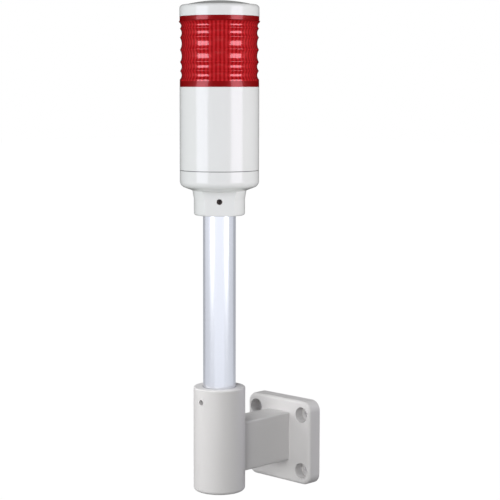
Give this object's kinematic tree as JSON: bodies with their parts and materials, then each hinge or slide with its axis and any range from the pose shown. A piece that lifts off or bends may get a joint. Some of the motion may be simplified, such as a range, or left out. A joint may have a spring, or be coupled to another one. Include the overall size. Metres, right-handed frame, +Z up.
{
  "type": "stack light",
  "caption": "Wall-mounted signal light: a red ribbed lantern on a white housing, carried on an aluminium pole in a grey wall bracket.",
  "frame": {"origin": "middle of the bracket plate's back face, at the centre of its four bolt holes, on the wall", "axes": "+Z up along the pole, +Y into the wall, +X to the right for someone who faces the wall"},
  "size_m": [0.067, 0.1095, 0.3787],
  "materials": {
    "bracket_plastic": "light grey moulded plastic, fine satin grain",
    "white_plastic": "cool white ABS, smooth semi-gloss",
    "red_lens": "clear red moulded lens, polished",
    "pole_aluminium": "satin anodised tube",
    "brass": "turned brass",
    "screw_steel": "plated steel",
    "blackened_steel": "blackened socket screw",
    "black_rubber": "soft black rubber",
    "seal_rubber": "dark sealing rubber",
    "circuit_board": "green solder mask",
    "white_board": "white solder mask",
    "column_plastic": "white moulded carrier",
    "light_chip": "light chip in a white frame",
    "terminal_plastic": "green moulded block",
    "relay_plastic": "black moulded case",
    "chip_plastic": "black moulded chip",
    "capacitor_can": "can in a dark sleeve"
  },
  "bodies": {
    "bracket": {"bracket": "bracket_plastic", "bracket_insert": "brass", "bracket_set_screw": "blackened_steel"},
    "pole": {"pole": "pole_aluminium", "pole_grommet": "black_rubber"},
    "head": {"head_insert": "brass", "head_set_screw": "blackened_steel", "base": "white_plastic", "base_gasket": "seal_rubber", "housing": "white_plastic", "lens": "red_lens", "lens_gasket": "seal_rubber", "lamp_board": "circuit_board", "led_column": "column_plastic", "led_boards": "white_board", "led_chips": "light_chip", "contact_pins": "brass", "tie_inserts": "brass", "tie_screws": "screw_steel", "board_screws": "screw_steel", "control_board": "circuit_board", "terminal_block": "terminal_plastic", "terminal_screws": "screw_steel", "relay": "relay_plastic", "flasher_chip": "chip_plastic", "capacitors": "capacitor_can"},
    "cap": {"cap": "white_plastic", "cap_gasket": "seal_rubber"}
  },
  "joints": [
    {"name": "pole_height", "type": "slide", "parent": "bracket", "child": "pole", "axis": [0, 0, 1], "range_m": [0, 0.03]},
    {"name": "head_turn", "type": "hinge", "parent": "pole", "child": "head", "pos_m": [0, -0.079, 0.2], "axis": [0, 0, 1], "range_deg": [-180, 180]},
    {"name": "cap_twist", "type": "hinge", "parent": "head", "child": "cap", "pos_m": [0, -0.079, 0.335], "axis": [0, 0, 1], "range_deg": [0, 30]}
  ]
}
